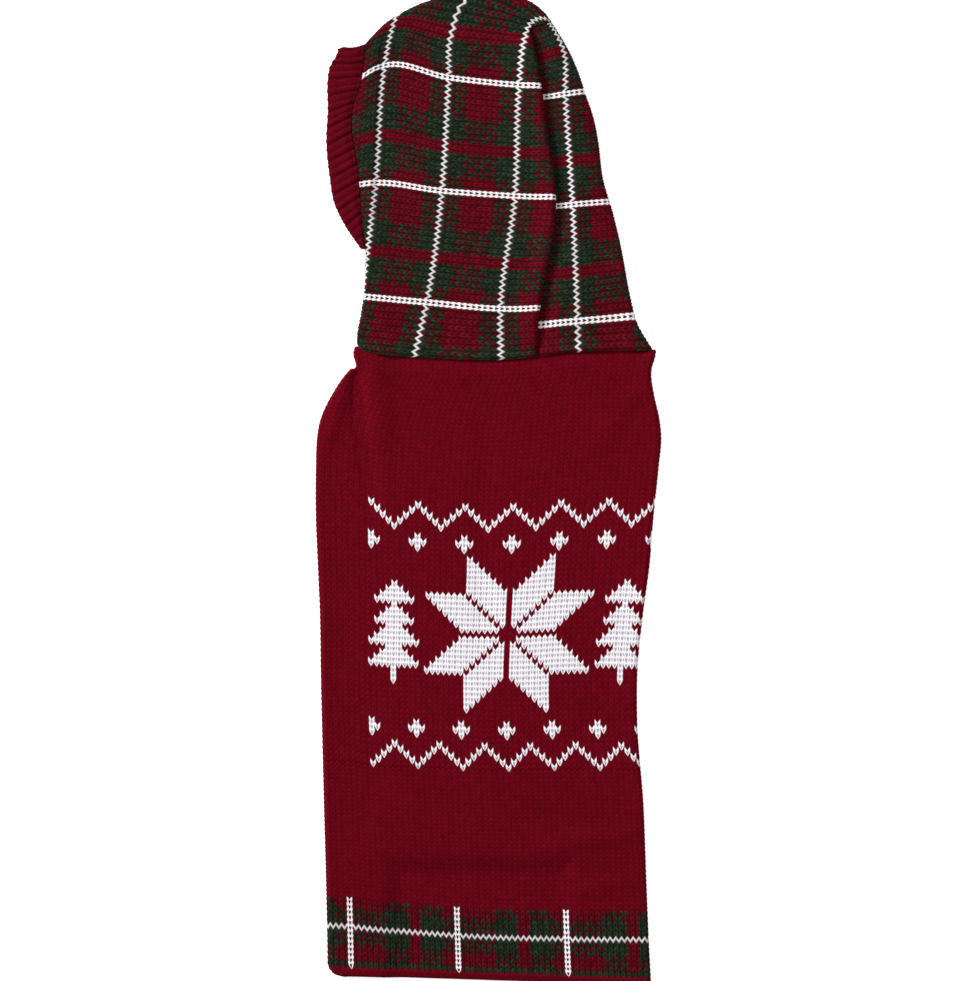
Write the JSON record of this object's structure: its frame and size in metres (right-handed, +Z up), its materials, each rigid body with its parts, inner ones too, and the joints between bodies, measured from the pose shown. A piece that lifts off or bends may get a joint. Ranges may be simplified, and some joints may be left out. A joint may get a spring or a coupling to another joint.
{
  "type": "hooded dog sweater",
  "caption": "Knitted hooded dog sweater lying flat on its belly, with a plaid hood, a ribbed face band, leg openings underneath, and a long plain back with a patterned hem.",
  "frame": {"origin": "on the surface the sweater lies on, under the middle of its bounding box", "axes": "+Y from the hem to the crown of the hood, +X to the right seen from above, +Z up out of the back"},
  "size_m": [0.2241, 0.6437, 0.0073],
  "materials": {
    "red_knit": "soft matt plain knit in acrylic yarn",
    "plaid_knit": "soft matt knit in red, green and white yarn",
    "red_rib": "soft matt ribbed knit in acrylic yarn"
  },
  "bodies": {
    "root": {"back_panel": "red_knit", "belly_panel": "red_knit", "leg_band_left": "red_rib", "leg_band_right": "red_rib", "hood_panel": "plaid_knit", "face_rib": "red_rib"}
  },
  "joints": []
}
